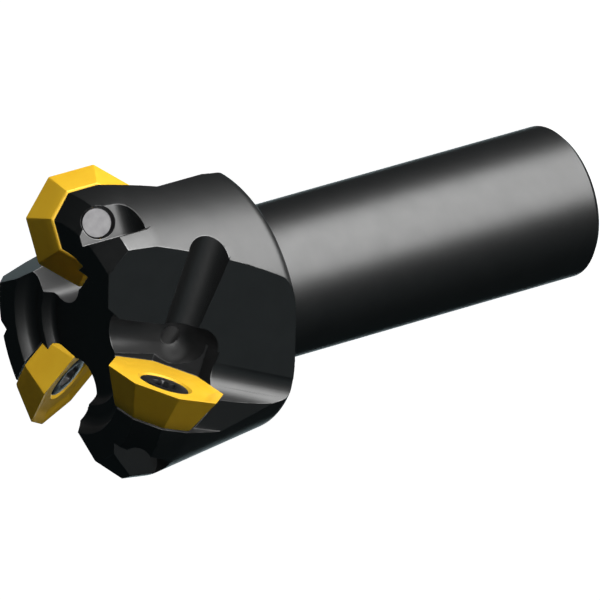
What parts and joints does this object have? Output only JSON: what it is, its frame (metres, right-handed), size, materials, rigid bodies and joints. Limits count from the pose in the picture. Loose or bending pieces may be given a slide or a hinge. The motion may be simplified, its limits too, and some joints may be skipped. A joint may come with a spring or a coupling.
{
  "type": "indexable face mill",
  "caption": "Cylindrical-shank face mill with octagonal indexable inserts, each clamped in its pocket by a countersunk screw.",
  "frame": {"origin": "centre of the shank's end face, on the tool axis", "axes": "+Z along the tool axis from the shank to the cutting end, +X through the centre of insert 1's rake face"},
  "size_m": [0.0496, 0.0472, 0.095],
  "materials": {
    "cutter_steel": "dark satin surface-treated tool steel",
    "insert_coating": "gold titanium nitride coating over sintered carbide",
    "screw_steel": "bright hardened steel"
  },
  "bodies": {
    "cutter": {"cutter_body": "cutter_steel"},
    "insert_1": {"insert_1": "insert_coating"},
    "screw_1": {"insert_screw_1": "screw_steel"},
    "insert_2": {"insert_2": "insert_coating"},
    "screw_2": {"insert_screw_2": "screw_steel"},
    "insert_3": {"insert_3": "insert_coating"},
    "screw_3": {"insert_screw_3": "screw_steel"}
  },
  "joints": [
    {"name": "insert_1_lift", "type": "slide", "parent": "cutter", "child": "insert_1", "axis": [-0.1186, 0.926, -0.3584], "range_m": [0, 0.0048]},
    {"name": "screw_1_turn", "type": "hinge", "parent": "insert_1", "child": "screw_1", "pos_m": [0.01662, 0, 0.08663], "axis": [-0.1186, 0.926, -0.3584], "range_deg": [0, 2162]},
    {"name": "insert_2_lift", "type": "slide", "parent": "cutter", "child": "insert_2", "axis": [-0.7426, -0.5657, -0.3584], "range_m": [0, 0.0048]},
    {"name": "screw_2_turn", "type": "hinge", "parent": "insert_2", "child": "screw_2", "pos_m": [-0.00831, 0.01439, 0.08663], "axis": [-0.7426, -0.5657, -0.3584], "range_deg": [0, 2162]},
    {"name": "insert_3_lift", "type": "slide", "parent": "cutter", "child": "insert_3", "axis": [0.8613, -0.3603, -0.3584], "range_m": [0, 0.0048]},
    {"name": "screw_3_turn", "type": "hinge", "parent": "insert_3", "child": "screw_3", "pos_m": [-0.00831, -0.01439, 0.08663], "axis": [0.8613, -0.3603, -0.3584], "range_deg": [0, 2162]}
  ],
  "couplings": [
    {"joint": "screw_1_turn", "follows": "insert_1_lift", "rad_per_m": 7854},
    {"joint": "screw_2_turn", "follows": "insert_2_lift", "rad_per_m": 7854},
    {"joint": "screw_3_turn", "follows": "insert_3_lift", "rad_per_m": 7854}
  ]
}
